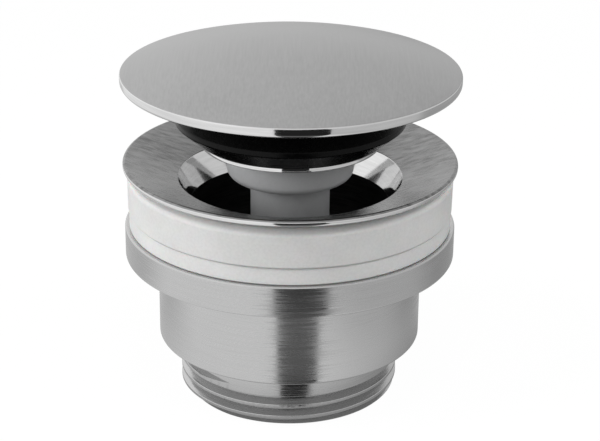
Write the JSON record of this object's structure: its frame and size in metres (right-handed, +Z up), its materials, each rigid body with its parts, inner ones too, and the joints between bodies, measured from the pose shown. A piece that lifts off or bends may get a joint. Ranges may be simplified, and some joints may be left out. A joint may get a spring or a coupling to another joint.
{
  "type": "pop up basin waste",
  "caption": "Basin waste with a domed push cap on a sprung click mechanism, a dished flange, white clamping gaskets and a threaded tail for the trap.",
  "frame": {"origin": "on the axis, at the lower end of the threaded tail", "axes": "+Z up along the axis from the tail to the cap; -Y is the side that the picture shows"},
  "size_m": [0.0634, 0.0634, 0.068],
  "materials": {
    "brushed_nickel": "brushed top, polished rim",
    "brass": "turned",
    "black_rubber": "smooth",
    "polished_steel": "polished",
    "grey_plastic": "matt moulded",
    "white_plastic": "matt moulded",
    "spring_steel": "drawn wire",
    "flange_nickel": "brushed dish, polished rim and throat",
    "white_silicone": "satin moulded",
    "turned_nickel": "turned and brushed"
  },
  "bodies": {
    "lower_body": {"lower_body": "turned_nickel", "tube_seal": "black_rubber"},
    "lower_gasket": {"lower_gasket": "white_silicone"},
    "flange": {"flange": "flange_nickel", "upper_gasket": "white_silicone", "stem": "grey_plastic", "stem_stud": "brass", "guide_bush": "white_plastic", "return_spring": "spring_steel"},
    "cap": {"cap": "brushed_nickel", "cap_hub": "brass", "cap_seal": "black_rubber", "seal_retainer": "polished_steel", "collar": "grey_plastic", "plunger": "brass"},
    "index_ring": {"index_ring": "white_plastic", "index_balls": "polished_steel"}
  },
  "joints": [
    {"name": "clamp_turn", "type": "hinge", "parent": "lower_body", "child": "lower_gasket", "pos_m": [0, 0, 0.0332], "axis": [0, 0, 1], "range_deg": [0, 2880]},
    {"name": "clamp_lift", "type": "slide", "parent": "lower_gasket", "child": "flange", "axis": [0, 0, 1], "range_m": [0, 0.012]},
    {"name": "cap_press", "type": "slide", "parent": "flange", "child": "cap", "axis": [0, 0, -1], "range_m": [0, 0.0106], "stiffness_N_per_m": 1000, "springref_m": -0.005, "deforming": ["return_spring"]},
    {"name": "index_turn", "type": "hinge", "parent": "flange", "child": "index_ring", "pos_m": [0, 0, 0.042], "axis": [0, 0, 1], "range_deg": [0, 60]}
  ],
  "couplings": [
    {"joint": "clamp_lift", "follows": "clamp_turn", "m_per_rad": 0.00023873},
    {"joint": "index_turn", "follows": "cap_press", "rad_per_m": 98.792}
  ]
}
